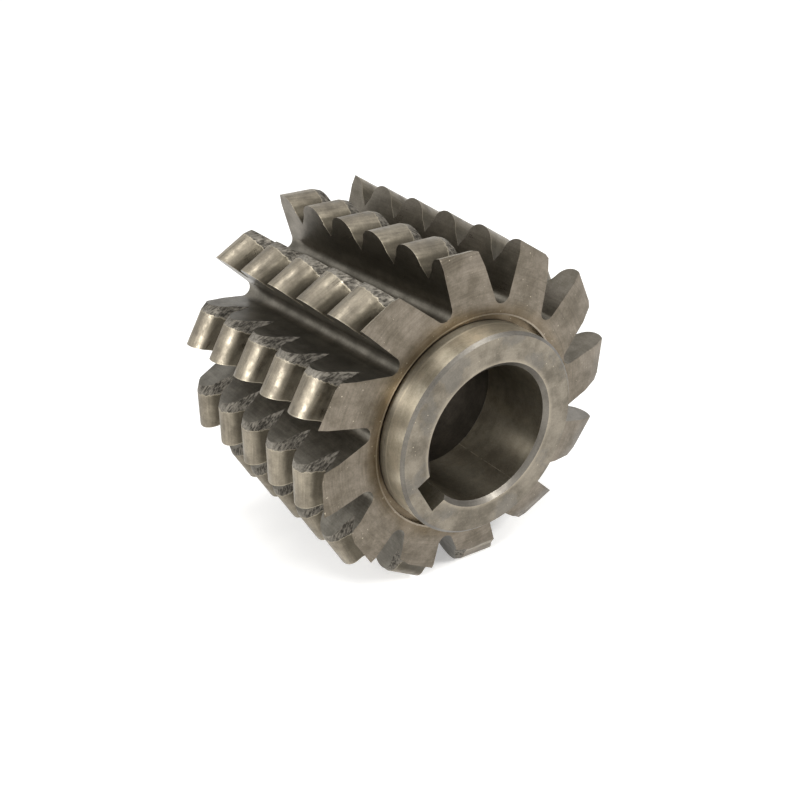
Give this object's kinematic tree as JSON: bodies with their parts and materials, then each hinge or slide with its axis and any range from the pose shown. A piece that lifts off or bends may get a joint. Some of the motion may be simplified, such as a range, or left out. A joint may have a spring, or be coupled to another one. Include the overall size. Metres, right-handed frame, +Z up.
{
  "type": "gear hob",
  "caption": "Shell gear hob with helical gashes, relieved round-crested teeth, ground hubs and a through bore with a drive keyway.",
  "frame": {"origin": "centre of the bore at mid length", "axes": "+Y along the bore, away from the front hub; +Z up as the hob lies on its teeth; +X to the right as seen from the front hub"},
  "size_m": [0.0681, 0.06, 0.0681],
  "materials": {
    "steel": "ground and relieved"
  },
  "bodies": {
    "root": {"hob": "steel"}
  },
  "joints": []
}
